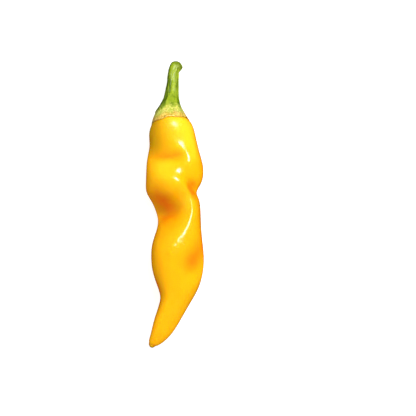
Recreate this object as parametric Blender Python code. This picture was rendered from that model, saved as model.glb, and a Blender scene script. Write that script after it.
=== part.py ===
# A yellow chili pepper as picked, lying on its side: the pod, and the stalk with its calyx.
#
# Metres, +Z up. The pepper lies along Y with its stalk at +Y and its tip at -Y. The origin is
# on the surface that it rests on, under the middle of its length and width.

import math

import bmesh
import bpy
import numpy as np

MM = 0.001

# The pod's two rounded ends, in millimetres: where each starts and how far it reaches.
TIP_START = -48.2
TIP_LENGTH = 2.1
SHOULDER_START = 27.8
SHOULDER_LENGTH = 5.0

# Outlines of the pod in millimetres, each as (y, value) from the tip to the shoulder. The two
# edges and the crest line are x as seen from above. The crest and the keel are heights.
LEFT_EDGE = (
    (-49.9, -9.5), (-48.2, -9.25), (-45.5, -8.5), (-41.3, -7.5), (-37.0, -6.15),
    (-34.2, -5.3), (-32.5, -5.05), (-30.8, -5.4), (-27.3, -6.65), (-23.0, -7.9),
    (-18.4, -8.3), (-14.5, -8.05), (-10.8, -7.05), (-6.2, -6.05), (-2.5, -6.95),
    (1.0, -8.45), (3.8, -9.95), (7.5, -10.2), (12.5, -10.0), (16.5, -9.55),
    (20.5, -8.85), (25.0, -9.0), (27.6, -8.2), (29.3, -7.5), (30.6, -7.35), (32.8, -6.7),
)
RIGHT_EDGE = (
    (-49.9, -6.0), (-48.2, -3.85), (-46.9, -2.4), (-44.1, -0.15), (-38.5, 3.15),
    (-32.9, 6.45), (-29.0, 8.45), (-24.0, 9.8), (-18.9, 10.2), (-13.3, 9.7),
    (-7.7, 9.2), (-2.1, 9.0), (1.0, 8.6), (2.9, 7.9), (3.9, 7.55), (4.9, 7.85),
    (6.5, 8.8), (8.3, 9.6), (10.5, 10.0), (14.7, 9.6), (19.0, 8.4), (25.0, 7.0),
    (27.8, 6.15), (29.3, 5.4), (30.6, 4.5), (32.8, 3.2),
)
CREST_LINE = (
    (-49.9, -7.6), (-46.0, -6.4), (-40.0, -4.4), (-33.0, -2.2), (-26.0, -0.8),
    (-20.0, -0.8), (-14.5, 0.2), (-9.5, 2.8), (-5.5, 4.9), (-1.5, 5.8), (2.0, 5.6),
    (4.5, 4.9), (8.0, 1.4), (12.0, 0.4), (16.0, 2.0), (21.0, -0.2), (28.0, -1.2), (32.8, -1.8),
)
CREST = (
    (-49.9, 10.4), (-46.0, 12.0), (-40.0, 13.4), (-35.0, 14.3), (-30.0, 15.6),
    (-24.0, 17.2), (-18.0, 18.2), (-15.0, 18.2), (-12.0, 17.6), (-8.0, 16.4), (-3.0, 15.0),
    (1.0, 14.6), (4.5, 15.5), (7.5, 16.9), (9.5, 17.4), (12.0, 17.3), (15.0, 17.4),
    (20.0, 17.1), (24.0, 17.0), (27.8, 16.7), (30.8, 16.3), (32.8, 16.0),
)
KEEL = (
    (-49.9, 7.0), (-46.0, 6.2), (-40.0, 4.6), (-34.0, 2.9), (-28.0, 1.2),
    (-23.0, 0.0), (-18.0, -0.4), (-13.0, 0.0), (-8.0, 0.9), (-3.0, 1.3),
    (2.0, 0.8), (8.0, -0.2), (12.0, -0.4), (16.0, -0.1), (21.0, 0.6),
    (27.8, 1.7), (30.8, 2.5), (32.8, 3.0),
)
# How much lower the left edge lies than the middle of the pod, where the pod is twisted.
LEFT_DROP = (
    (-49.9, 0.0), (-20.0, 0.0), (-12.0, 0.8), (-7.0, 2.8), (-3.5, 4.4), (0.0, 3.6),
    (3.5, 1.0), (7.0, 0.0), (32.8, 0.0),
)

# Folds, hollows and ridges on top of the pod, in millimetres. Each runs along its line of
# (x, y, height) points. Its reach is how far it spreads left and right of the line, looking
# along it. A shape of 2 is round, and one near 1 is a crease.
TOP_RELIEF = {
    "waist hollow": {
        "line": ((-8.5, -6.2, -3.0), (-6.6, -5.6, -5.0), (-4.5, -4.6, -6.4), (-1.7, -3.4, -5.4),
                 (0.6, -1.8, -2.8), (2.2, 0.0, -1.0), (2.8, 1.4, 0.0)),
        "reach": (5.4, 2.6),
        "shape": 1.5,
    },
    "lobe above the hollow": {
        "line": ((-8.0, 5.0, 0.8), (-4.0, 4.4, 1.9), (-1.0, 4.2, 2.1), (1.5, 3.8, 1.3),
                 (3.6, 2.8, 0.0)),
        "reach": (4.4, 2.8),
        "shape": 2.0,
    },
    "twisted ridge": {
        "line": ((1.0, 8.8, 0.2), (3.8, 5.0, 0.6), (5.4, 2.2, 0.8), (6.2, -0.8, 0.9),
                 (6.0, -4.2, 0.9), (4.6, -8.2, 0.8), (2.0, -11.8, 0.6), (-1.0, -15.5, 0.0)),
        "reach": (5.0, 4.6),
        "shape": 2.0,
    },
    "fold under the bulge": {
        "line": ((-3.1, 11.8, 0.0), (0.0, 11.1, -0.3), (2.8, 9.8, -1.0), (4.4, 8.3, -2.6),
                 (5.8, 6.4, -4.8), (7.3, 4.3, -6.0)),
        "reach": (4.2, 1.1),
        "shape": 1.3,
    },
    "bulge": {
        "line": ((4.0, 19.0, 0.0), (5.6, 15.0, 0.6), (6.3, 11.5, 0.9), (6.4, 8.5, 0.6)),
        "reach": (2.4, 2.4),
        "shape": 2.0,
    },
    "shoulder valley": {
        "line": ((-9.0, 15.6, -3.0), (-6.0, 15.9, -3.4), (-1.0, 16.1, -3.3), (2.2, 16.5, -2.1),
                 (4.6, 17.3, 0.0)),
        "reach": (4.4, 3.2),
        "shape": 1.2,
    },
    "valley beside the bulge": {
        "line": ((1.2, 16.2, 0.0), (3.4, 16.5, -0.6), (5.2, 17.0, -0.6), (7.0, 17.8, 0.0)),
        "reach": (2.0, 2.2),
        "shape": 2.0,
    },
    "upper valley": {
        "line": ((-2.5, 24.8, 0.0), (0.0, 23.4, -0.4), (2.5, 21.9, -0.4), (4.5, 20.0, 0.0)),
        "reach": (2.4, 1.6),
        "shape": 2.0,
    },
    "dimple below the hollow": {
        "line": ((-6.3, -11.2, 0.0), (-3.5, -9.4, -0.3), (-1.0, -7.3, -0.3), (1.1, -5.2, 0.0)),
        "reach": (1.2, 1.2),
        "shape": 2.0,
    },
    "right dent": {
        "line": ((10.5, -20.5, -5.0), (8.8, -22.0, -4.8), (6.5, -23.2, -3.2), (4.2, -24.0, -1.2),
                 (2.0, -24.4, 0.0)),
        "reach": (2.6, 5.6),
        "shape": 2.0,
    },
    "swell below the dent": {
        "line": ((6.8, -30.5, 0.8), (3.5, -33.0, 0.8), (0.5, -37.0, 0.4)),
        "reach": (3.5, 3.5),
        "shape": 2.0,
    },
    "knuckle": {
        "line": ((2.6, -10.6, 0.0), (1.4, -12.8, 0.5), (-0.4, -15.0, 0.4), (-1.6, -17.6, 0.0)),
        "reach": (2.2, 2.2),
        "shape": 2.0,
    },
    "valley where the taper starts": {
        "line": ((-7.2, -23.8, 0.0), (-5.6, -28.0, -0.5), (-4.4, -32.0, -0.6), (-4.6, -36.0, 0.0)),
        "reach": (1.4, 1.2),
        "shape": 2.0,
    },
}

# Points along each line of relief. Where a place is near to two parts of a line, they are blended
# if their distances differ by less than about the blend, in millimetres.
RELIEF_POINTS = 60
RELIEF_BLEND = 0.6
SMALLEST_DISTANCE = 1e-9

# How the pod is divided: segments over the top and under the belly, rings in each rounded end,
# and the ring spacing along the body as (y from, y to, spacing).
TOP_SEGMENTS = 36
BELLY_SEGMENTS = 28
TIP_RINGS = 4
SHOULDER_RINGS = 6
RING_SPACING = ((TIP_START, -6.0, 1.7), (-6.0, 20.0, 1.0), (20.0, SHOULDER_START, 1.56))

# The calyx, in millimetres: the clearance over the pod, the thickness of its rim and of its
# shoulder, where they lie along the pod, how far the rim leans to the right and to the top, and
# its teeth.
CALYX_GAP = 0.35
RIM_THICKNESS = 0.4
SHOULDER_THICKNESS = 0.65
RIM_Y = 29.05
SHOULDER_Y = 31.1
RIM_LEAN = (0.85, 1.25)
TOOTH_HEIGHT = 0.22

# The stalk above the calyx's shoulder, in millimetres: centre (x, y, z), half width and half
# height. Ridges run along it and end in the teeth of the rim. Their depth is a share of its
# radius, and their turn places them round it.
STALK_SPINE = (
    ((-1.85, 32.3, 8.9), 5.05, 5.4),
    ((-1.5, 34.1, 8.4), 4.0, 3.9),
    ((-1.3, 37.1, 7.5), 2.75, 2.6),
    ((-1.0, 40.5, 6.7), 2.22, 2.15),
    ((-0.74, 43.4, 6.1), 2.02, 1.9),
    ((-0.66, 45.7, 5.7), 1.94, 1.8),
)
STALK_RIDGES = 5
RIDGE_DEPTH = 0.06
RIDGE_TURN = math.pi / 2

# The elbow near the end of the stalk, and the cut across its end, in millimetres: centre, half
# width vector and half height vector. Rings inside the cut, as (size, depth), dish it slightly.
ELBOW = ((0.0, 48.3, 5.3), (1.4, -1.8, 0.0), (0.0, 0.0, 1.75))
CUT = ((2.1, 49.15, 5.0), (0.55, -1.15, 0.0), (-0.4, -0.17, 1.3))
CUT_DISH = ((0.45, 0.3), (0.8, 0.15))

# How the calyx and stalk are divided: segments round them, rings from the rim to the cut end,
# rings under the calyx, and the guides that shape the calyx, as shares of the way from its rim to
# its shoulder.
STALK_SEGMENTS = 40
STALK_RINGS = 30
UNDERSIDE_RINGS = 8
CALYX_GUIDES = (0.0, 0.5, 1.0)

POD_COLOUR = (0.93, 0.50, 0.005, 1.0)
POD_ROUGHNESS = 0.3
STALK_COLOUR = (0.30, 0.42, 0.04, 1.0)
STALK_ROUGHNESS = 0.5


def smooth_curve(points):
    """A natural cubic spline through (position, value) points, as a function of position."""
    knots = np.array([point[0] for point in points], float)
    values = np.array([point[1] for point in points], float)
    gaps = np.diff(knots)
    slopes = np.diff(values, axis=0) / gaps.reshape(-1, *[1] * (values.ndim - 1))
    system = np.eye(len(knots))
    target = np.zeros_like(values)
    for i in range(1, len(knots) - 1):
        system[i, i - 1 : i + 2] = gaps[i - 1], 2 * (gaps[i - 1] + gaps[i]), gaps[i]
        target[i] = 6 * (slopes[i] - slopes[i - 1])
    bend = np.linalg.solve(system, target.reshape(len(knots), -1)).reshape(values.shape)

    def curve(position):
        position = np.asarray(position, float)
        i = np.clip(np.searchsorted(knots, position) - 1, 0, len(gaps) - 1)
        shape = position.shape + (1,) * (values.ndim - 1)
        gap = gaps[i].reshape(shape)
        after = (position - knots[i]).reshape(shape)
        before = (knots[i + 1] - position).reshape(shape)
        return (
            (bend[i] * before**3 + bend[i + 1] * after**3) / (6 * gap)
            + (values[i] / gap - bend[i] * gap / 6) * before
            + (values[i + 1] / gap - bend[i + 1] * gap / 6) * after
        )

    return curve


left_edge = smooth_curve(LEFT_EDGE)
right_edge = smooth_curve(RIGHT_EDGE)
crest_line = smooth_curve(CREST_LINE)
crest = smooth_curve(CREST)
keel = smooth_curve(KEEL)
left_drop = smooth_curve(LEFT_DROP)


def relief_along(line, reach, shape, x, y):
    """The height of one fold or ridge at the plan positions (x, y)."""
    steps = np.arange(len(line))
    fine = np.linspace(0, len(line) - 1, RELIEF_POINTS)
    path = smooth_curve(list(zip(steps, [point[:2] for point in line])))(fine)
    height = np.interp(fine, steps, [point[2] for point in line])
    away = np.stack([x, y], -1)[..., None, :] - path
    distance = np.hypot(away[..., 0], away[..., 1])
    nearest = distance.min(-1)
    nearness = np.exp((nearest[..., None] - distance) / RELIEF_BLEND)
    nearness /= nearness.sum(-1)[..., None]
    tangent = np.gradient(path, axis=0)
    tangent /= np.linalg.norm(tangent, axis=1)[:, None]
    # From 1 straight to the left of the line to -1 straight to the right of it.
    turned = tangent[:, 0] * away[..., 1] - tangent[:, 1] * away[..., 0]
    leftness = (nearness * turned / np.maximum(distance, SMALLEST_DISTANCE)).sum(-1)
    spread = (reach[0] + reach[1]) / 2 + leftness * (reach[0] - reach[1]) / 2
    return (nearness * height).sum(-1) * np.exp(-((nearest / spread) ** shape))


def pod_surface(angle, y, grow=0.0):
    """Points on the pod, grown outwards by a little. The angle runs from +X over the top."""
    angle, y = np.broadcast_arrays(angle, y)
    tip = np.clip((TIP_START - y) / (TIP_LENGTH + grow), 0, 1)
    shoulder = np.clip((y - SHOULDER_START) / (SHOULDER_LENGTH + grow), 0, 1)
    cap = np.sqrt((1 - tip**2) * (1 - shoulder**2))
    across = np.cos(angle)
    up = np.sin(angle)
    middle = (left_edge(y) + right_edge(y)) / 2
    centre = np.where(up > 0, crest_line(y), middle)
    edge = np.where(across > 0, right_edge(y) + grow, left_edge(y) - grow)
    middle_height = (crest(y) + keel(y)) / 2
    half_height = (crest(y) - keel(y)) / 2 + grow
    # The crest line reaches the middle of each rounded end at its pole.
    centre = middle + (centre - middle) * cap
    x = middle + (centre + (edge - centre) * np.abs(across) - middle) * cap
    raised = sum(relief_along(x=x, y=y, **fold) for fold in TOP_RELIEF.values())
    drop = left_drop(y) * np.minimum(across, 0) ** 2
    z = middle_height - drop + up * cap * (half_height + np.where(up > 0, raised, 0))
    return np.stack([x, y, np.maximum(z, 0)], -1)


def plain_material(name, colour, roughness):
    material = bpy.data.materials.new(name)
    material.use_nodes = True
    shader = material.node_tree.nodes["Principled BSDF"]
    shader.inputs["Base Color"].default_value = colour
    shader.inputs["Roughness"].default_value = roughness
    return material


def sculpted_sphere(name, rings, poles, material):
    """A sphere whose rings and poles are moved to the given places, as a named object."""
    count, segments = rings.shape[:2]
    bm = bmesh.new()
    bmesh.ops.create_uvsphere(bm, u_segments=segments, v_segments=count + 1, radius=1)
    for vertex in bm.verts:
        x, y, z = vertex.co
        row = round(math.acos(max(-1, min(1, z))) / math.pi * (count + 1))
        column = round(math.atan2(y, x) / math.tau * segments) % segments
        if row == 0 or row == count + 1:
            place = poles[0 if row == 0 else 1]
        else:
            place = rings[row - 1][column]
        vertex.co = [float(value) * MM for value in place]
    if bm.calc_volume(signed=True) < 0:
        bmesh.ops.reverse_faces(bm, faces=bm.faces)
    mesh = bpy.data.meshes.new(name)
    bm.to_mesh(mesh)
    bm.free()
    mesh.shade_smooth()
    mesh.materials.append(material)
    obj = bpy.data.objects.new(name, mesh)
    bpy.data.collections["chili_pepper"].objects.link(obj)


def ring_positions():
    """The y of every ring of the pod, from the tip to the shoulder."""
    tip_turn = np.linspace(0, np.pi / 2, TIP_RINGS + 1)[1:-1]
    tip = TIP_START - TIP_LENGTH * np.cos(tip_turn)
    shoulder_turn = np.linspace(0, np.pi / 2, SHOULDER_RINGS + 1)[1:-1]
    shoulder = SHOULDER_START + SHOULDER_LENGTH * np.sin(shoulder_turn)
    body = []
    for start, end, spacing in RING_SPACING:
        steps = round((end - start) / spacing)
        body.extend(np.linspace(start, end, steps, endpoint=False))
    return np.concatenate([tip, body, [SHOULDER_START], shoulder])


def pod():
    """The yellow fruit, flattened a little where it rests."""
    over = np.linspace(0, np.pi, TOP_SEGMENTS, endpoint=False)
    under = np.linspace(np.pi, 2 * np.pi, BELLY_SEGMENTS, endpoint=False)
    angle = np.concatenate([over, under])
    y = ring_positions()
    rings = pod_surface(angle[None, :], y[:, None])
    ends = np.array([TIP_START - TIP_LENGTH, SHOULDER_START + SHOULDER_LENGTH])
    poles = pod_surface(np.zeros(2), ends)
    sculpted_sphere("pod", rings, poles, plain_material("pod", POD_COLOUR, POD_ROUGHNESS))


def rim_position(angle):
    """Where the rim of the calyx lies along the pod."""
    lean = RIM_LEAN[0] * np.cos(angle) + RIM_LEAN[1] * np.sin(angle)
    return RIM_Y + lean - TOOTH_HEIGHT * np.cos(STALK_RIDGES * angle + RIDGE_TURN)


def calyx_underside(angle):
    """Rings from the rim in to the middle of the pod's shoulder, just clear of the pod."""
    pole = SHOULDER_START + SHOULDER_LENGTH + CALYX_GAP
    turn = np.linspace(0, np.pi / 2, UNDERSIDE_RINGS + 1)[:-1, None]
    y = rim_position(angle)[None, :]
    return pod_surface(angle[None, :], pole - (pole - y) * (1 - np.sin(turn)), CALYX_GAP)


def stalk_ring(centre, half_width, half_height, direction, angle):
    """One ring across the stalk, with its ridges, square to the way the stalk runs."""
    across = np.cross(direction, [0.0, 0.0, 1.0])
    across /= np.linalg.norm(across)
    up = np.cross(across, direction)
    ridges = 1 + RIDGE_DEPTH * np.cos(STALK_RIDGES * angle + RIDGE_TURN)
    sideways = half_width * ridges * np.cos(angle)
    upwards = half_height * ridges * np.sin(angle)
    return centre + sideways[:, None] * across + upwards[:, None] * up


def end_ring(angle, centre, half_width, half_height, size=1.0, depth=0.0):
    """A ring near the end of the stalk, or a smaller one sunk back from it."""
    back = np.cross(half_width, half_height)
    back *= depth / np.linalg.norm(back)
    across = size * np.cos(angle)[:, None] * half_width
    up = size * np.sin(angle)[:, None] * half_height
    return centre + back + across + up


def calyx_outside(angle):
    """Rings from the rim out over the calyx and up the stalk to the cut end."""
    rim = rim_position(angle)
    guides = []
    for share in CALYX_GUIDES:
        thickness = RIM_THICKNESS + share * (SHOULDER_THICKNESS - RIM_THICKNESS)
        y = rim + share * (SHOULDER_Y - rim)
        guides.append(pod_surface(angle, y, CALYX_GAP + thickness))
    centres = np.array([centre for centre, _, _ in STALK_SPINE])
    directions = np.gradient(centres, axis=0)
    directions[0] = 0, 1, 0
    directions /= np.linalg.norm(directions, axis=1)[:, None]
    for (centre, half_width, half_height), direction in zip(STALK_SPINE, directions):
        guides.append(stalk_ring(centre, half_width, half_height, direction, angle))
    guides.append(end_ring(angle, *ELBOW))
    guides.append(end_ring(angle, *CUT))
    steps = np.linalg.norm(np.diff(guides, axis=0), axis=2).mean(1)
    along = np.concatenate([[0], steps.cumsum()])
    loft = smooth_curve(list(zip(along, guides)))
    return loft(np.linspace(0, along[-1], STALK_RINGS))


def calyx_stalk():
    """The calyx and the stalk, one body."""
    angle = np.linspace(0, 2 * np.pi, STALK_SEGMENTS, endpoint=False)
    cut = [end_ring(angle, *CUT, size, depth) for size, depth in CUT_DISH]
    outside = calyx_outside(angle)[::-1]
    underside = calyx_underside(angle)
    rings = np.concatenate([cut, outside, underside])
    cut_middle = end_ring(np.zeros(1), *CUT, 0.0, CUT_DISH[0][1])[0]
    inner_middle = pod_surface(0.0, SHOULDER_START + SHOULDER_LENGTH + CALYX_GAP, CALYX_GAP)
    material = plain_material("calyx_stalk", STALK_COLOUR, STALK_ROUGHNESS)
    sculpted_sphere("calyx_stalk", rings, (cut_middle, inner_middle), material)


def clear_scene():
    for obj in list(bpy.data.objects):
        bpy.data.objects.remove(obj)


clear_scene()
bpy.context.scene.collection.children.link(bpy.data.collections.new("chili_pepper"))
pod()
calyx_stalk()
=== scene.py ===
# The looks of a yellow chili pepper: its waxy skin, its green calyx and stalk, and the studio.
#
# Metres, +Z up. The pepper lies along Y with its stalk at +Y and its tip at -Y. Places and sizes
# on the pepper itself are given in millimetres.

import math
from typing import NamedTuple

import bmesh
import bpy
import numpy as np
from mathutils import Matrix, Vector, kdtree, noise


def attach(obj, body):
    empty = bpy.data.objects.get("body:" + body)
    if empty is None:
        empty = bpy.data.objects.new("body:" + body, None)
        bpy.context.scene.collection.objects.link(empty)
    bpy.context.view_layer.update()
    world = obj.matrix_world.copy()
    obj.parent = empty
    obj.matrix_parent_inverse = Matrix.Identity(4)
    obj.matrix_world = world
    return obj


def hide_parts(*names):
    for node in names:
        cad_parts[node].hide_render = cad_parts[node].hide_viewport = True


MM = 0.001


class Layer(NamedTuple):
    """A colour that starts to show at one value of its pattern, and is full at another."""

    colour: tuple
    start: float
    full: float
    strength: float = 1


# The view straight down on the pepper: the point looked at, and how high the camera is over it.
VIEW_POINT = Vector((0.011585, -0.001365, 0.009))
CAMERA_HEIGHT = 0.4044
LENS = 100

# The lamp: where it stands, its size and its power. It faces the middle of the pepper. The room
# light comes evenly from all round.
LAMP_PLACE = Vector((0.14, 0.2, 0.42))
LAMP_SIZE = 0.16
LAMP_POWER = 2.45
ROOM_LIGHT = 0.68

# The floor is flat out to its radius, and then curves up into a wall.
FLOOR_RADIUS = 0.8
FLOOR_CURVE = 0.4
FLOOR_CURVE_STEPS = 11
FLOOR_WALL = 1.6
FLOOR_SEGMENTS = 96
FLOOR_GLOW = 0.74
FLOOR_COLOURS = ((0.53, 0.53, 0.53), (0.57, 0.57, 0.57))
FLOOR_GRAIN = 3 * MM
FLOOR_ROUGHNESS = 0.8

# How often the faces of the solids are divided, and how many rounds of neighbours tell whether a
# place stands out or lies in a hollow.
SMOOTH_LEVELS = 2
FORM_ROUNDS = 14

# Corners of a solid, or of the floor, that are nearer than this are one corner.
SOLID_MERGE = 1e-7
FLOOR_MERGE = 1e-6

# The middle line of the calyx and the stalk, in millimetres, from inside the pod's shoulder to
# the middle of the cut end, and how many points it is divided into.
STALK_LINE = (
    (-1.85, 27.0, 9.6), (-1.85, 32.3, 8.9), (-1.5, 34.1, 8.4), (-1.3, 37.1, 7.5),
    (-1.0, 40.5, 6.7), (-0.74, 43.4, 6.1), (-0.66, 45.7, 5.7), (0.0, 48.3, 5.3), (2.1, 49.15, 5.0),
)
LINE_POINTS = 300

# The rim of the calyx in millimetres: where it lies along the pod, and how it leans and waves.
RIM_Y = 29.05
RIM_LEAN = (0.85, 1.25)
TOOTH_HEIGHT = 0.22
TEETH = 5

# The cut end, in millimetres: the way it faces, where the stalk darkens before it, where its face
# starts, and how unevenly it darkens. Nothing that lies less far along the stalk belongs to it.
CUT_FACING = (0.87, 0.37, 0.34)
CUT_BRUISE = (-1.8, -0.8)
CUT_FACE = (-0.22, -0.05)
CUT_UNEVEN = 0.4
CUT_STARTS = 20

# Fibres run along the stalk: the radius on which their pattern is drawn and how far it is
# stretched, and the width and height of the coarse and of the fine ribs, in millimetres.
FIBRE_RADIUS = 2.2
FIBRE_STRETCH = 7
RIB_WIDTH = 0.9
RIB_HEIGHT = 0.16
FINE_RIB_WIDTH = 0.4
FINE_RIB_HEIGHT = 0.05

# Where the ribs start along the stalk, and how far from its end they fade out, in millimetres.
RIBS_START = (6, 10)
RIBS_END = (1.0, 0.2)

# Lumps as (size, height) in millimetres: on the skin, in its rough patches, and on the stalk.
# Those of the rim shift it along the pepper.
SKIN_LUMPS = ((4.0, 0.03), (1.5, 0.015))
ROUGH_LUMPS = (1.1, 0.09)
STALK_LUMPS = (1.3, 0.05)
RIM_LUMPS = (1.6, 0.3)

# How deep the calyx's rim is pressed towards the skin, in millimetres.
PRESS_DEPTH = 0.35

# Fades, as how far above the rim of the calyx they start and end, in millimetres: the rim's shift
# and its press, the calyx's and the rim's own colours, and the painted shade round the stalk's
# foot.
SHIFT_FADE = (1.0, 3.0)
PRESS_FADE = (0.2, 2.2)
CALYX_FADE = (1.0, 6.4)
RIM_FADE = (0.0, 3.0)
FOOT_FADE_IN = (2.0, 4.5)
FOOT_FADE_OUT = (7.0, 10.0)

# How much painted shade darkens the foot and the left of the stalk, and how much painted light
# lightens its right. The sides fade in from the middle of the stalk, at 0, to its edge, at 1.
FOOT_PAINTED_SHADE = 0.4
LEFT_PAINTED_SHADE = 0.6
LEFT_FADE = (0.1, 0.8)
RIGHT_PAINTED_LIGHT = 0.45
RIGHT_FADE = (0.0, 0.6)

# How much painted shade deepens the skin's colour in hollows and on the flanks, and how much
# painted light makes it paler on what stands out, with where that starts and is full in millimetres
# of standing out. The flank's width says how nearly sideways the skin faces there.
HOLLOW_SHADE = 0.15
HOLLOW_FADE = (0.1, -1.2)
FLANK_SHADE = 0.52
FLANK_WIDTH = 0.4
RAISED_LIGHT = 0.2
RAISED_FADE = (0.5, 1.1)

# How wide the brown line on the skin under the calyx is, in millimetres. It is partly brown of its
# own and partly painted shade where the calyx meets the skin.
COLLAR_WIDTH = 0.45

# Patches, each as its place (x, y, z) and radius in millimetres, and its strength. The grey ones
# are on the calyx, and the others are on the pod.
PATCHES = {
    # Partly the skin's own deeper orange, partly painted shade: in the hollow, along the valley,
    # under the bulge, in the dents and on the left.
    "deep_and_shade": (
        ((-5.5, 1.5, 12.0), 5.5, 0.5),
        ((-3.4, -1.5, 9.0), 4.0, 0.45),
        ((-4.5, -4.0, 7.0), 2.8, 0.4),
        ((6.0, 5.6, 14.0), 3.0, 0.55),
        ((7.0, -16.4, 12.0), 4.6, 0.5),
        ((5.2, -21.0, 14.0), 4.4, 0.42),
        ((-6.2, -28.5, 10.0), 3.4, 0.5),
        ((-7.0, 21.0, 14.0), 5.5, 0.22),
        ((-6.5, 16.6, 13.0), 2.0, 0.3),
        ((-3.6, 16.4, 13.8), 2.0, 0.3),
        ((-0.8, 16.6, 14.4), 2.0, 0.3),
        ((1.8, 17.0, 15.3), 1.8, 0.3),
    ),
    # Partly the shoulder's own paler tone, partly painted light and sheen on the lit lobes, the
    # ridge, the taper and the tip.
    "pale_and_lit": (
        ((4.0, 27.0, 14.0), 7.0, 0.9),
        ((-4.0, 13.0, 16.0), 5.0, 0.55),
        ((6.0, 18.0, 14.0), 4.5, 0.5),
        ((4.5, 1.0, 14.0), 3.5, 0.3),
        ((-1.0, -36.0, 13.0), 8.0, 0.25),
        ((-8.2, -48.6, 8.0), 1.2, 0.8),
    ),
    # Painted shade, browner: in the low hollow and on the left of the shoulder, which faces away
    # from the lamp.
    "painted_shade": (
        ((-4.6, -2.6, 6.5), 3.2, 0.65),
        ((-6.0, 26.6, 13.5), 4.2, 0.95),
        ((-7.0, 20.5, 13.5), 4.4, 0.9),
    ),
    "green": (
        ((-9.2, 25.2, 9.5), 2.6, 0.6),
        ((-8.0, 28.6, 9.5), 2.0, 0.4),
    ),
    "scar": (
        ((-9.1, -49.1, 9.0), 0.8, 1.6),
        ((-8.2, -50.2, 9.0), 0.8, 1.5),
        ((-7.2, -49.7, 9.6), 0.5, 0.7),
    ),
    "soft": (
        ((-0.7, 28.7, 14.5), 3.2, 0.2),
        ((5.6, 2.0, 18.0), 4.5, 0.05),
        ((5.6, -6.0, 18.0), 4.5, 0.05),
        ((2.0, -13.0, 18.5), 3.5, 0.07),
    ),
    "rough": (
        ((4.2, 4.9, 18.0), 2.4, 0.4),
        ((6.3, -0.3, 18.0), 2.6, 0.4),
        ((6.0, -6.3, 18.0), 2.8, 0.5),
        ((3.5, -11.5, 18.3), 2.6, 0.6),
        ((0.5, -14.8, 18.5), 2.4, 0.6),
        ((1.5, 22.0, 16.2), 3.0, 0.5),
        ((-2.5, 13.0, 15.7), 3.4, 0.6),
        ((-8.3, -49.8, 9.2), 1.5, 1.6),
    ),
    "grey": (
        ((-7.6, 29.5, 10.5), 2.6, 0.7),
        ((-5.6, 33.0, 11.0), 1.8, 0.5),
    ),
}

# A dent and two small mounds that break the gloss on the ridge, in millimetres: place (x, y, z),
# radius and height.
MOUNDS = (
    ((2.3, -12.3, 18.5), 0.8, -0.16),
    ((-0.3, -14.4, 18.5), 1.1, 0.32),
    ((-1.3, -16.8, 18.3), 1.0, 0.3),
)

# The blunt nub at the very tip, in millimetres: where it is, its size, and the groove round it.
NUB = (-8.3, -49.8, 8.8)
NUB_RADIUS = 0.9
NUB_HEIGHT = 0.1
GROOVE_RADIUS = 1.6
GROOVE_WIDTH = 0.45
GROOVE_DEPTH = 0.16

# Nearly all of a pattern's values lie in this range, with 0.5 as their middle.
PATTERN_RANGE = (0.3, 0.7)
PATTERN_MIDDLE = 0.5

# The patterns on the skin, as the sizes of their lumps in millimetres.
SKIN_BLOTCH = 6
SKIN_MOTTLE = 1.4
SCAR_SPECK = 0.5

# How uneven the deep colour with its painted shade and the pale colour with its painted light
# are, and how strong the mottle is in that beside the blotches.
DEEP_UNEVEN = 0.35
PALE_UNEVEN = 0.5
MOTTLE_SHARE = 0.6

# The colours of the skin, with the scar at the tip and the line under the calyx. The deep colour is
# partly the skin's own deeper orange and partly painted shade, the pale one partly its own paler
# tone and partly painted light and sheen, and the dull one painted shade. The line is partly brown
# of its own and partly painted shade where the calyx meets the skin.
SKIN_RIPE = (0.96, 0.44, 0.0003)
SKIN_PALE_AND_LIT = Layer((0.98, 0.585, 0.012), start=0, full=1)
SKIN_DEEP_AND_SHADE = Layer((0.94, 0.185, 0.0002), start=0, full=1)
SKIN_SHADE = (0.6, 0.31, 0.0003)
SKIN_GREEN = (0.5, 0.45, 0.01)
SCAR_BROWN = Layer((0.2, 0.06, 0.01), start=0.42, full=0.6)
COLLAR_BROWN_AND_SHADE = Layer((0.5, 0.17, 0.01), start=0.35, full=0.6)

# The ripple and the grain of the skin, in millimetres.
RIPPLE_SIZE = 1.3
RIPPLE_HEIGHT = 0.035
GRAIN_SIZE = 0.22
GRAIN_HEIGHT = 0.003

# How the skin takes light: it is a little translucent. The roughness is uneven.
SKIN_ROUGHNESS = (0.17, 0.23)
SKIN_FINISH = {
    "Specular IOR Level": 0.5,
    "Subsurface Weight": 0.4,
    "Subsurface Radius": (1.0, 0.3, 0.05),
    "Subsurface Scale": 4 * MM,
}

# The patterns on the calyx and the stalk, as the sizes of their lumps in millimetres. The streaks
# run along the fibres, and theirs is their width.
STREAK = 1.1
FINE_STREAK = 0.45
STALK_MOTTLE = 1.2
STALK_FLECK = 0.6
RIM_SPECK = 0.9

# How much the flecks break the streaks, how much the ribs, with the painted light and shade on the
# stalk's sides and foot, lighten or darken the green, and how uneven the edges of the calyx's and
# the rim's colours are.
FLECK_SHARE = 0.3
RIBS_AND_SHADING_SHARE = 0.22
CALYX_UNEVEN = 0.9

# The colours of the stalk.
STALK_DARK = (0.08, 0.14, 0.002)
STALK_GREEN = Layer((0.25, 0.34, 0.01), start=0.3, full=0.52)
STALK_LIGHT = Layer((0.53, 0.63, 0.05), start=0.52, full=0.82)
STALK_FIBRES = Layer((0.1, 0.17, 0.008), start=0.56, full=0.68, strength=0.55)

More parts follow.
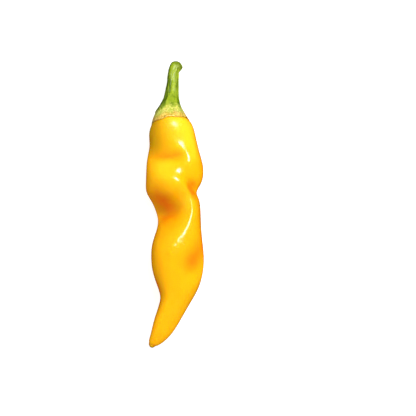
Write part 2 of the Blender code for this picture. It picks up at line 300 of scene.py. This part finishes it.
# The colours of the calyx and its rim, and where each of the two starts to show and is full.
CALYX_GREEN = (0.36, 0.42, 0.035)
CALYX_CREAM = Layer((0.62, 0.6, 0.12), start=0.4, full=0.6)
CALYX_PINK = Layer((0.62, 0.33, 0.12), start=0.5, full=0.7, strength=0.45)
CALYX_GREY = Layer((0.34, 0.33, 0.1), start=0.35, full=0.6)
CALYX_SHOWS = (0.1, 0.8)
RIM_TAN = (0.55, 0.3, 0.03)
RIM_CREAM = Layer((0.74, 0.53, 0.11), start=0.38, full=0.6)
RIM_BROWN = Layer((0.22, 0.14, 0.012), start=0.57, full=0.7, strength=0.8)
RIM_SHOWS = (0.25, 0.9)

# The colours of the cut end.
CUT_DARK = (0.05, 0.07, 0.003)
CUT_PALE = (0.2, 0.25, 0.025)

# The fine relief of the stalk in millimetres, and how the stalk takes light.
STREAK_HEIGHT = 0.06
MOTTLE_HEIGHT = 0.08
STALK_ROUGHNESS = (0.26, 0.4)
STALK_FINISH = {
    "Specular IOR Level": 0.28,
    "Subsurface Weight": 0.15,
    "Subsurface Radius": (0.6, 1.0, 0.1),
    "Subsurface Scale": 1 * MM,
}

# The numbers of the sockets of a node that mixes two colours.
MIX_FACTOR = 0
MIX_FIRST = 6
MIX_SECOND = 7
MIX_RESULT = 2


def smooth_step(low, high, values):
    """0 where a value is at the low end, 1 where it is at the high end, and smooth between."""
    share = np.clip((values - low) / (high - low), 0, 1)
    return share * share * (3 - 2 * share)


def bell(values):
    """1 where a value is 0, and near 0 where it is 2 or more, on either side."""
    return np.exp(-(values**2))


def patches(points, places):
    """How much of the patches lies at each point."""
    total = np.zeros(len(points))
    for place, radius, strength in places:
        distance = np.linalg.norm(points / MM - np.array(place), axis=1)
        total += strength * bell(distance / radius)
    return total


def noise_at(points, size):
    """Smooth noise at each point, from about -1 to 1, with lumps of the given size."""
    return np.array([noise.noise(Vector(point) / size) for point in points])


def crests_at(points, size):
    """Noise that is folded at its middle: 0.5 along sharp crests, and lower between them."""
    return 0.5 - 2 * np.abs(noise_at(points, size))


def lumps_at(points, size, height):
    """The height at each point of lumps of the given size and height, all in millimetres."""
    return height * noise_at(points, size * MM)


def read_points(mesh):
    points = np.empty(len(mesh.vertices) * 3)
    mesh.vertices.foreach_get("co", points)
    return points.reshape(-1, 3)


def read_normals(mesh):
    normals = np.empty(len(mesh.vertices) * 3)
    mesh.vertex_normals.foreach_get("vector", normals)
    return normals.reshape(-1, 3)


def read_values(mesh, name):
    values = np.empty(len(mesh.vertices))
    mesh.attributes[name].data.foreach_get("value", values)
    return values


def move_points(mesh, points):
    mesh.vertices.foreach_set("co", points.ravel())
    mesh.update()


def store(mesh, name, values):
    layer = mesh.attributes.new(name, "FLOAT", "POINT")
    layer.data.foreach_set("value", values)


def store_vectors(mesh, name, vectors):
    layer = mesh.attributes.new(name, "FLOAT_VECTOR", "POINT")
    layer.data.foreach_set("vector", vectors.ravel())


def neighbour_mean(mesh, rounds):
    """Every point moved to the mean of its neighbours, a number of times."""
    edges = np.empty(len(mesh.edges) * 2, int)
    mesh.edges.foreach_get("vertices", edges)
    start, end = edges.reshape(-1, 2).T
    points = read_points(mesh)
    count = np.bincount(np.concatenate([start, end]), minlength=len(points))
    for _ in range(rounds):
        total = np.zeros_like(points)
        np.add.at(total, start, points[end])
        np.add.at(total, end, points[start])
        points = total / count[:, None]
    return points


def standing_out(mesh, rounds):
    """How far each point stands out of the form round it, in millimetres."""
    away = read_points(mesh) - neighbour_mean(mesh, rounds)
    return (away * read_normals(mesh)).sum(1) / MM


def refined_mesh(node, form_rounds=0):
    """A smooth, finer copy of a solid's faceted mesh. It can keep how far each point stands out."""
    bm = bmesh.new()
    bm.from_mesh(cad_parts[node].data)
    bmesh.ops.remove_doubles(bm, verts=bm.verts, dist=SOLID_MERGE)
    bmesh.ops.join_triangles(
        bm, faces=bm.faces, angle_face_threshold=math.pi, angle_shape_threshold=math.pi
    )
    coarse = bpy.data.meshes.new(node)
    bm.to_mesh(coarse)
    bm.free()
    if form_rounds:
        store(coarse, "form", standing_out(coarse, form_rounds))
    helper = bpy.data.objects.new(node, coarse)
    bpy.context.scene.collection.objects.link(helper)
    smoother = helper.modifiers.new("smoother", "SUBSURF")
    smoother.levels = SMOOTH_LEVELS
    depsgraph = bpy.context.evaluated_depsgraph_get()
    fine = bpy.data.meshes.new_from_object(helper.evaluated_get(depsgraph))
    bpy.data.objects.remove(helper)
    fine.shade_smooth()
    return fine


def add_piece(name, node, mesh, material):
    """Shows a fine mesh in place of the solid that it was made from."""
    mesh.materials.clear()
    mesh.materials.append(material)
    piece = bpy.data.objects.new(name, mesh)
    bpy.context.scene.collection.objects.link(piece)
    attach(piece, "root")
    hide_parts(node)


def new_material(name):
    material = bpy.data.materials.new(name)
    material.use_nodes = True
    return material, material.node_tree, material.node_tree.nodes["Principled BSDF"]


def fill_inputs(tree, node, inputs):
    """Gives each named or numbered input of a node a fixed value, or another node's output."""
    for name, value in inputs.items():
        if isinstance(value, bpy.types.NodeSocket):
            tree.links.new(value, node.inputs[name])
        else:
            node.inputs[name].default_value = value


def add_node(tree, kind, inputs, **settings):
    node = tree.nodes.new("ShaderNode" + kind)
    for name, value in settings.items():
        setattr(node, name, value)
    fill_inputs(tree, node, inputs)
    return node


def object_place(tree):
    return add_node(tree, "TexCoord", {}).outputs["Object"]


def attribute(tree, name, output="Fac"):
    return add_node(tree, "Attribute", {}, attribute_name=name).outputs[output]


def lumps(tree, place, size, detail=2.0):
    """A pattern with lumps of the given size in the units of the place."""
    inputs = {"Vector": place, "Scale": 1 / size, "Detail": detail}
    return add_node(tree, "TexNoise", inputs).outputs["Fac"]


def between(tree, value, low, high, start=0.0, end=1.0):
    """Start where the value is at its low, end where it is at its high, and smooth between."""
    inputs = {"Value": value, "From Min": low, "From Max": high, "To Min": start, "To Max": end}
    node = add_node(tree, "MapRange", inputs, interpolation_type="SMOOTHSTEP")
    return node.outputs["Result"]


def calculate(tree, operation, *values):
    return add_node(tree, "Math", dict(enumerate(values)), operation=operation).outputs[0]


def added(tree, base, extra, share=1.0):
    """The base, with a share of something else added to it."""
    return calculate(tree, "MULTIPLY_ADD", extra, share, base)


def centred(tree, pattern):
    """A pattern moved so that its middle is at 0."""
    return calculate(tree, "SUBTRACT", pattern, PATTERN_MIDDLE)


def mixed(tree, factor, first, second):
    """The first colour, turning into the second as the factor goes from 0 to 1."""
    inputs = {MIX_FACTOR: factor}
    for number, colour in ((MIX_FIRST, first), (MIX_SECOND, second)):
        inputs[number] = (*colour, 1) if isinstance(colour, tuple) else colour
    return add_node(tree, "Mix", inputs, data_type="RGBA").outputs[MIX_RESULT]


def layered(tree, colour, layer, pattern, mask=None):
    """A colour with a layer of another one over it. A mask keeps the layer to its own places."""
    share = between(tree, pattern, layer.start, layer.full, 0, layer.strength)
    if mask:
        share = calculate(tree, "MULTIPLY", share, mask)
    return mixed(tree, share, colour, layer.colour)


def bump(tree, pattern, height, normal=None):
    inputs = {"Height": pattern, "Distance": height * MM, "Strength": 1.0}
    if normal:
        inputs["Normal"] = normal
    return add_node(tree, "Bump", inputs).outputs["Normal"]


def skin_colour(tree, place, mottle):
    """Yellow, with blotches that are paler or a deeper orange, painted shade and painted light, a
    scar, and a line at the calyx that is partly painted shade.
    """
    blotches = lumps(tree, place, SKIN_BLOTCH * MM, detail=3.0)
    uneven = added(tree, centred(tree, blotches), centred(tree, mottle), MOTTLE_SHARE)
    pale_and_lit = added(tree, attribute(tree, "pale_and_lit"), uneven, PALE_UNEVEN)
    deep_and_shade = added(tree, attribute(tree, "deep_and_shade"), uneven, DEEP_UNEVEN)
    colour = layered(tree, SKIN_RIPE, SKIN_PALE_AND_LIT, pale_and_lit)
    colour = layered(tree, colour, SKIN_DEEP_AND_SHADE, deep_and_shade)
    colour = mixed(tree, attribute(tree, "painted_shade"), colour, SKIN_SHADE)
    colour = mixed(tree, attribute(tree, "green"), colour, SKIN_GREEN)
    specks = lumps(tree, place, SCAR_SPECK * MM)
    colour = layered(tree, colour, SCAR_BROWN, specks, attribute(tree, "scar"))
    return layered(tree, colour, COLLAR_BROWN_AND_SHADE, mottle, attribute(tree, "collar_and_shade"))


def pod_material():
    """Waxy skin, glossy and a little translucent, with a faint ripple."""
    material, tree, shader = new_material("waxy_skin")
    place = object_place(tree)
    mottle = lumps(tree, place, SKIN_MOTTLE * MM, detail=3.0)
    roughness = between(tree, mottle, *PATTERN_RANGE, *SKIN_ROUGHNESS)
    ripple = bump(tree, lumps(tree, place, RIPPLE_SIZE * MM), RIPPLE_HEIGHT)
    grain = bump(tree, lumps(tree, place, GRAIN_SIZE * MM), GRAIN_HEIGHT, ripple)
    fill_inputs(tree, shader, SKIN_FINISH)
    fill_inputs(tree, shader, {
        "Base Color": skin_colour(tree, place, mottle),
        "Roughness": added(tree, roughness, attribute(tree, "soft")),
        "Normal": grain,
    })
    return material


def stalk_colour(tree, streaks, fine_streaks, fleck):
    """Green, light along the ribs, with painted light on its right, painted shade on its left and
    round its foot, broken streaks and dark fibres.
    """
    broken = added(tree, streaks, centred(tree, fleck), FLECK_SHARE)
    light = added(tree, broken, attribute(tree, "ribs_and_painted_shading"), RIBS_AND_SHADING_SHARE)
    colour = layered(tree, STALK_DARK, STALK_GREEN, light)
    colour = layered(tree, colour, STALK_LIGHT, light)
    return layered(tree, colour, STALK_FIBRES, fine_streaks)


def calyx_colour(tree, colour, place, streaks, mottle, fleck):
    """The stalk's colour, turning to mottled cream over the calyx and speckled tan at its rim."""
    uneven = added(tree, centred(tree, mottle), centred(tree, streaks))
    on_calyx = attribute(tree, "calyx")
    on_rim = attribute(tree, "rim")
    cream = layered(tree, CALYX_GREEN, CALYX_CREAM, fleck)
    calyx = between(tree, added(tree, on_calyx, uneven, CALYX_UNEVEN), *CALYX_SHOWS)
    colour = mixed(tree, calyx, colour, cream)
    tan = layered(tree, RIM_TAN, RIM_CREAM, fleck)
    rim = between(tree, added(tree, on_rim, uneven, CALYX_UNEVEN), *RIM_SHOWS)
    colour = mixed(tree, rim, colour, tan)
    colour = layered(tree, colour, CALYX_PINK, streaks, on_calyx)
    colour = layered(tree, colour, CALYX_GREY, mottle, attribute(tree, "grey"))
    specks = lumps(tree, place, RIM_SPECK * MM)
    return layered(tree, colour, RIM_BROWN, specks, on_rim)


def stalk_material():
    """Green fibrous tissue, duller than the skin, with ribs and a darker cut end."""
    material, tree, shader = new_material("fibrous_green")
    place = object_place(tree)
    fibre_place = attribute(tree, "fibre", "Vector")
    streaks = lumps(tree, fibre_place, STREAK, detail=3.0)
    fine_streaks = lumps(tree, fibre_place, FINE_STREAK)
    mottle = lumps(tree, place, STALK_MOTTLE * MM, detail=4.0)
    fleck = lumps(tree, place, STALK_FLECK * MM, detail=3.0)
    colour = stalk_colour(tree, streaks, fine_streaks, fleck)
    colour = calyx_colour(tree, colour, place, streaks, mottle, fleck)
    cut_end = mixed(tree, mottle, CUT_DARK, CUT_PALE)
    ribs = bump(tree, fine_streaks, STREAK_HEIGHT)
    fill_inputs(tree, shader, STALK_FINISH)
    fill_inputs(tree, shader, {
        "Base Color": mixed(tree, attribute(tree, "cut"), colour, cut_end),
        "Roughness": between(tree, mottle, *PATTERN_RANGE, *STALK_ROUGHNESS),
        "Normal": bump(tree, mottle, MOTTLE_HEIGHT, ribs),
    })
    return material


def rim_distance(points):
    """How far points lie up from the calyx's rim towards the stalk, in millimetres."""
    x, y, z = (points / MM).T
    turn = np.arctan2(z - STALK_LINE[0][2], x - STALK_LINE[0][0])
    rim_y = RIM_Y + RIM_LEAN[0] * np.cos(turn) + RIM_LEAN[1] * np.sin(turn)
    return y - rim_y + TOOTH_HEIGHT * np.cos(TEETH * turn + math.pi / 2)


def skin_relief(points):
    """How far the fine skin stands out of the solid, in millimetres."""
    height = sum(lumps_at(points, *sizes) for sizes in SKIN_LUMPS)
    height += patches(points, PATCHES["rough"]) * lumps_at(points, *ROUGH_LUMPS)
    height += patches(points, MOUNDS)
    from_nub = np.linalg.norm(points / MM - NUB, axis=1)
    height += NUB_HEIGHT * bell(from_nub / NUB_RADIUS)
    height -= GROOVE_DEPTH * bell((from_nub - GROOVE_RADIUS) / GROOVE_WIDTH)
    return height


def make_pod():
    mesh = refined_mesh("pod", FORM_ROUNDS)
    points = read_points(mesh)
    form = read_values(mesh, "form")
    move_points(mesh, points + read_normals(mesh) * skin_relief(points)[:, None] * MM)
    # Painted shade on the flanks that face sideways and in the hollows, and painted light on what
    # stands out.
    flank_shade = FLANK_SHADE * bell(read_normals(mesh)[:, 2] / FLANK_WIDTH)
    hollow_shade = HOLLOW_SHADE * smooth_step(*HOLLOW_FADE, form)
    raised_light = RAISED_LIGHT * smooth_step(*RAISED_FADE, form)
    store(mesh, "deep_and_shade", patches(points, PATCHES["deep_and_shade"]) + hollow_shade + flank_shade)
    store(mesh, "pale_and_lit", patches(points, PATCHES["pale_and_lit"]) + raised_light)
    for name in ("painted_shade", "green", "scar", "soft"):
        store(mesh, name, patches(points, PATCHES[name]))
    # The line under the calyx: partly brown of its own, partly painted shade at the join.
    store(mesh, "collar_and_shade", bell(rim_distance(points) / COLLAR_WIDTH))
    add_piece("pod_surface", "pod", mesh, pod_material())
    return mesh


def line_coordinates(points):
    """Where points lie along the stalk's middle line, at what angle round it, and its length."""
    corners = np.array(STALK_LINE) * MM
    lengths = np.concatenate([[0], np.linalg.norm(np.diff(corners, axis=0), axis=1).cumsum()])
    places = np.linspace(0, lengths[-1], LINE_POINTS)
    line = np.stack([np.interp(places, lengths, axis) for axis in corners.T], 1)
    tangents = np.gradient(line, axis=0)
    tangents /= np.linalg.norm(tangents, axis=1)[:, None]
    distance = ((points[:, None, :] - line[None]) ** 2).sum(-1)
    nearest = distance.argmin(1)
    direction = tangents[nearest]
    away = points - line[nearest]
    along = places[nearest] + (away * direction).sum(1)
    across = np.cross(direction, (0, 0, 1))
    across /= np.linalg.norm(across, axis=1)[:, None]
    up = np.cross(across, direction)
    turn = np.arctan2((away * up).sum(1), (away * across).sum(1))
    return along / MM, turn, lengths[-1] / MM


def fibre_places(along, turn):
    """Where points lie in the pattern of the fibres: round the stalk, and slowly along it."""
    across = FIBRE_RADIUS * np.stack([np.cos(turn), np.sin(turn)], 1)
    return np.column_stack([across, along / FIBRE_STRETCH])


def press_rim(points, above_rim, pod_mesh):
    """Moves the calyx's rim down towards the pod, so that no gap shows under it."""
    pod_points = kdtree.KDTree(len(pod_mesh.vertices))
    for vertex in pod_mesh.vertices:
        pod_points.insert(vertex.co, vertex.index)
    pod_points.balance()
    pressed = points.copy()
    share = 1 - smooth_step(*PRESS_FADE, above_rim)
    for index in np.flatnonzero(share > 0):
        _, nearest, _ = pod_points.find(points[index])
        normal = np.array(pod_mesh.vertices[nearest].normal)
        pressed[index] -= normal * share[index] * PRESS_DEPTH * MM
    return pressed


def shape_stalk(mesh, rib_relief, above_rim, pod_mesh):
    """Gives the calyx and the stalk their ribs and lumps, and the rim its uneven pressed edge."""
    points = read_points(mesh)
    height = rib_relief + lumps_at(points, *STALK_LUMPS)
    moved = points + read_normals(mesh) * height[:, None] * MM
    shift = lumps_at(points, *RIM_LUMPS) * (1 - smooth_step(*SHIFT_FADE, above_rim))
    moved[:, 1] += shift * MM
    move_points(mesh, press_rim(moved, above_rim, pod_mesh))


def painted_side_light(turn):
    """How much painted light lightens the right side of the stalk, and how much painted shade
    darkens its left side.
    """
    left = LEFT_PAINTED_SHADE * smooth_step(*LEFT_FADE, -np.cos(turn))
    right = RIGHT_PAINTED_LIGHT * smooth_step(*RIGHT_FADE, np.cos(turn))
    return right - left


def painted_foot_shade(above_rim):
    """How much painted shade darkens the ring round the stalk's foot."""
    fade_out = 1 - smooth_step(*FOOT_FADE_OUT, above_rim)
    return FOOT_PAINTED_SHADE * smooth_step(*FOOT_FADE_IN, above_rim) * fade_out


def cut_share(points, along, unevenness):
    """How much each point belongs to the cut end: to the bruise round it, and to its face."""
    beyond = (points / MM - STALK_LINE[-1]) @ np.array(CUT_FACING)
    bruise = smooth_step(*CUT_BRUISE, beyond + CUT_UNEVEN * unevenness)
    face = smooth_step(*CUT_FACE, beyond)
    return (bruise + face) / 2 * (along > CUT_STARTS)


def make_stalk(pod_mesh):
    mesh = refined_mesh("calyx_stalk")
    points = read_points(mesh)
    above_rim = rim_distance(points)
    along, turn, length = line_coordinates(points)
    fibre = fibre_places(along, turn)
    ribs = crests_at(fibre, RIB_WIDTH)
    fine_ribs = noise_at(fibre, FINE_RIB_WIDTH)
    ribs_end = smooth_step(*RIBS_END, length - along)
    on_stalk = smooth_step(*RIBS_START, along) * (1 - ribs_end)
    rib_relief = on_stalk * (RIB_HEIGHT * ribs + FINE_RIB_HEIGHT * fine_ribs)
    shape_stalk(mesh, rib_relief, above_rim, pod_mesh)
    store_vectors(mesh, "fibre", fibre)
    # The ribs, with painted light on the stalk's right and painted shade on its left and round its
    # foot.
    store(mesh, "ribs_and_painted_shading", on_stalk * (ribs + painted_side_light(turn)) - painted_foot_shade(above_rim))
    store(mesh, "calyx", 1 - smooth_step(*CALYX_FADE, above_rim))
    store(mesh, "rim", 1 - smooth_step(*RIM_FADE, above_rim))
    store(mesh, "grey", patches(points, PATCHES["grey"]))
    store(mesh, "cut", cut_share(points, along, fine_ribs))
    add_piece("calyx_stalk_surface", "calyx_stalk", mesh, stalk_material())


def floor_material():
    material, tree, shader = new_material("floor")
    paper = lumps(tree, object_place(tree), FLOOR_GRAIN, detail=3.0)
    fill_inputs(tree, shader, {
        "Base Color": mixed(tree, paper, *FLOOR_COLOURS),
        "Roughness": FLOOR_ROUGHNESS,
        "Emission Color": (1, 1, 1, 1),
        "Emission Strength": FLOOR_GLOW,
    })
    return material


def make_floor():
    """A white floor that curves up into a wall all round. It lights nothing but itself."""
    profile = [(0.0, 0.0), (FLOOR_RADIUS, 0.0)]
    for turn in np.linspace(0, math.pi / 2, FLOOR_CURVE_STEPS + 1)[1:]:
        radius = FLOOR_RADIUS + FLOOR_CURVE * math.sin(turn)
        profile.append((radius, FLOOR_CURVE * (1 - math.cos(turn))))
    profile.append((FLOOR_RADIUS + FLOOR_CURVE, FLOOR_WALL))
    bm = bmesh.new()
    ring = [bm.verts.new((radius, 0, height)) for radius, height in profile]
    edges = [bm.edges.new(pair) for pair in zip(ring, ring[1:])]
    bmesh.ops.spin(
        bm, geom=ring + edges, cent=(0, 0, 0), axis=(0, 0, 1), angle=math.tau,
        steps=FLOOR_SEGMENTS, use_merge=True,
    )
    bmesh.ops.remove_doubles(bm, verts=bm.verts, dist=FLOOR_MERGE)
    bmesh.ops.recalc_face_normals(bm, faces=bm.faces)
    mesh = bpy.data.meshes.new("floor")
    bm.to_mesh(mesh)
    bm.free()
    mesh.shade_smooth()
    mesh.materials.append(floor_material())
    floor = bpy.data.objects.new("floor", mesh)
    floor.visible_glossy = False
    floor.visible_diffuse = False
    bpy.context.scene.collection.objects.link(floor)


def add_camera():
    """An unturned camera looks straight down, with +Y at the top of its picture."""
    camera = bpy.data.objects.new("camera", bpy.data.cameras.new("camera"))
    camera.data.lens = LENS
    camera.location = VIEW_POINT + Vector((0, 0, CAMERA_HEIGHT))
    bpy.context.scene.collection.objects.link(camera)
    bpy.context.scene.camera = camera


def add_lamp():
    light = bpy.data.lights.new("lamp", "AREA")
    light.size = LAMP_SIZE
    light.energy = LAMP_POWER
    lamp = bpy.data.objects.new("lamp", light)
    lamp.location = LAMP_PLACE
    lamp.rotation_euler = (-LAMP_PLACE).to_track_quat("-Z", "Y").to_euler()
    bpy.context.scene.collection.objects.link(lamp)


def add_room_light():
    """Even light from all round, which doesn't show as a reflection."""
    world = bpy.data.worlds.new("room")
    world.use_nodes = True
    background = world.node_tree.nodes["Background"]
    background.inputs["Color"].default_value = (1, 1, 1, 1)
    background.inputs["Strength"].default_value = ROOM_LIGHT
    world.cycles_visibility.glossy = False
    bpy.context.scene.world = world
    bpy.context.scene.view_settings.view_transform = "Standard"


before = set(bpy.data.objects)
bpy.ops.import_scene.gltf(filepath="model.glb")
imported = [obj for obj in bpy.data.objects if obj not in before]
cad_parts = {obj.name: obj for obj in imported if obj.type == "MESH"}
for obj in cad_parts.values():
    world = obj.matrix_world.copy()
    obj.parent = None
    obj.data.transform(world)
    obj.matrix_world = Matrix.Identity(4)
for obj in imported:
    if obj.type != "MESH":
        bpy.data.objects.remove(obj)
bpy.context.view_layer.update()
make_stalk(make_pod())
make_floor()
add_camera()
add_lamp()
add_room_light()
